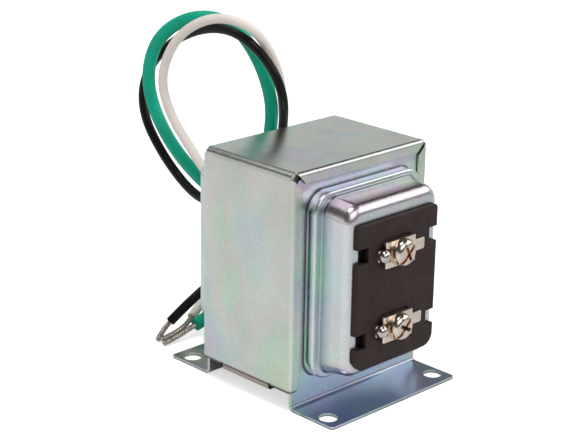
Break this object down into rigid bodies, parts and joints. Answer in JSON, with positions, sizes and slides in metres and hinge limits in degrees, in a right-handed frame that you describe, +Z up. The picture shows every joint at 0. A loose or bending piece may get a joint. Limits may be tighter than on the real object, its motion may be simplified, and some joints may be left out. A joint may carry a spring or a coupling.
{
  "type": "doorbell transformer",
  "caption": "Foot-mounted doorbell transformer: plated steel case over a laminated core, screw terminals on a moulded board at the front, and free insulated leads at the rear.",
  "frame": {"origin": "on the mounting surface, midway between the holes of the feet", "axes": "+Z up from the mounting surface, -Y towards the terminal board, +X to the right seen from the board's side"},
  "size_m": [0.0516, 0.1157, 0.0945],
  "materials": {
    "zinc_plate": "bright zinc plate with a passivation tint",
    "board": "moulded, satin",
    "nickel_plate": "nickel plate",
    "solder": "tin solder",
    "copper": "enamelled copper wire",
    "core_steel": "varnished sheets",
    "bobbin": "moulded",
    "tape": "polyester tape",
    "bushing": "moulded",
    "black_insulation": "extruded",
    "green_insulation": "extruded",
    "white_insulation": "extruded",
    "tinned_copper": "tinned, twisted strands"
  },
  "bodies": {
    "root": {"case_wrap": "zinc_plate", "front_cover": "zinc_plate", "rear_cover": "zinc_plate", "terminal_board": "board", "upper_terminal_plate": "nickel_plate", "lower_terminal_plate": "nickel_plate", "upper_clamp_washer": "nickel_plate", "lower_clamp_washer": "nickel_plate", "upper_terminal_screw": "nickel_plate", "lower_terminal_screw": "nickel_plate", "upper_solder_joint": "solder", "lower_solder_joint": "solder", "upper_coil_lead": "copper", "lower_coil_lead": "copper", "core_e_laminations": "core_steel", "core_i_laminations": "core_steel", "coil_bobbin": "bobbin", "primary_winding": "copper", "secondary_winding": "copper", "primary_tape": "tape", "secondary_tape": "tape", "lead_bushing": "bushing", "ground_terminal": "nickel_plate", "ground_rivet": "nickel_plate", "black_lead": "black_insulation", "green_lead": "green_insulation", "white_lead": "white_insulation", "black_conductor": "tinned_copper", "green_conductor": "tinned_copper", "white_conductor": "tinned_copper"}
  },
  "joints": []
}
